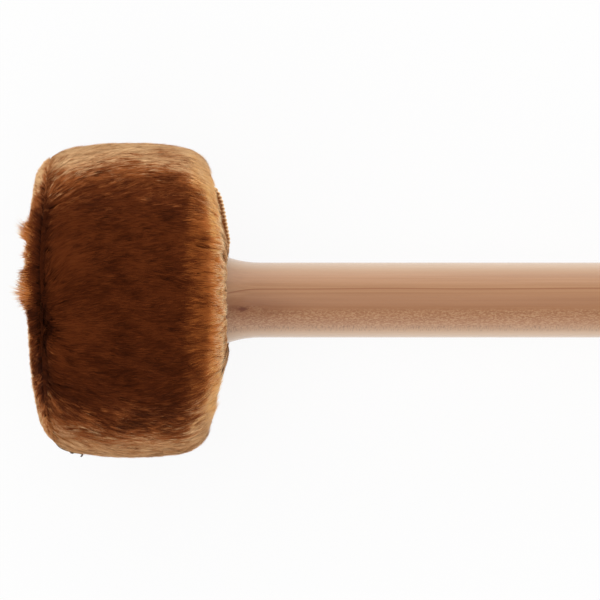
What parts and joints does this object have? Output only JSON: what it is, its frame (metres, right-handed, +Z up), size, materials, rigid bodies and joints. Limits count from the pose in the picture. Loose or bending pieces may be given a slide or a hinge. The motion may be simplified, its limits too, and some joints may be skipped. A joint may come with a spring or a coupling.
{
  "type": "gong mallet",
  "caption": "Gong mallet with a drum-shaped, felt-wound head in long-pile plush on a turned wooden handle that flares to a collar.",
  "frame": {"origin": "middle of the mallet's box seen from above, on the surface that the mallet lies on", "axes": "+Z up, and +X from the head towards the butt of the handle, which dips 7.9 degrees from level as the mallet lies on its head and its butt"},
  "size_m": [0.3858, 0.1235, 0.1241],
  "materials": {
    "beech": "satin",
    "hardwood": "matte",
    "zinc_plated_steel": "satin",
    "wool_felt": "matte",
    "polyester_wadding": "matte",
    "plush": "matte",
    "cotton_thread": "matte"
  },
  "bodies": {
    "root": {"handle": "beech", "core": "hardwood", "core_screw": "zinc_plated_steel", "screw_washer": "zinc_plated_steel", "felt_wrap": "wool_felt", "front_felt": "wool_felt", "back_felt": "wool_felt", "wadding": "polyester_wadding", "cover_front": "plush", "cover_side": "plush", "cover_back": "plush", "front_seam_thread": "cotton_thread", "back_seam_thread": "cotton_thread", "side_seam_thread": "cotton_thread", "draw_thread": "cotton_thread"}
  },
  "joints": []
}
